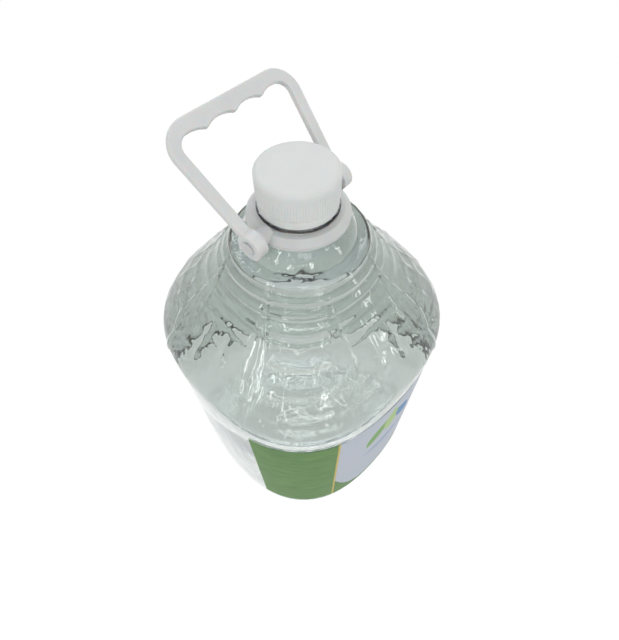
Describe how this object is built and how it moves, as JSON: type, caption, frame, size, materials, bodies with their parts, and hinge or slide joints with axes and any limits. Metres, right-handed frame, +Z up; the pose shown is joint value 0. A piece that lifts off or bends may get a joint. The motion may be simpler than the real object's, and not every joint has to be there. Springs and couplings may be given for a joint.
{
  "type": "vinegar bottle",
  "caption": "Clear square-shouldered bottle of pale vinegar with a ribbed screw cap, a front label and a carrying handle that swings over the cap.",
  "frame": {"origin": "middle of the base, on the neck's axis, where the bottle stands", "axes": "+Z up along the neck's axis; the label's front panel faces -Y; the handle leans towards +Y"},
  "size_m": [0.176, 0.176, 0.305],
  "materials": {
    "clear_pet": "clear, blow-moulded, glossy",
    "vinegar": "clear liquid",
    "cap_plastic": "satin moulded, fine vertical grooves",
    "handle_plastic": "slightly translucent, natural white",
    "label_film": "printed film, satin"
  },
  "bodies": {
    "bottle_body": {"bottle": "clear_pet", "vinegar": "vinegar", "cap": "cap_plastic", "tamper_band": "cap_plastic", "handle_collar": "handle_plastic", "label": "label_film"},
    "bail_body": {"handle_bail": "handle_plastic"}
  },
  "joints": [
    {"name": "handle_swing", "type": "hinge", "parent": "bottle_body", "child": "bail_body", "pos_m": [0, 0, 0.2572], "axis": [0.9962, 0.0872, 0], "range_deg": [-70, 158]}
  ]
}
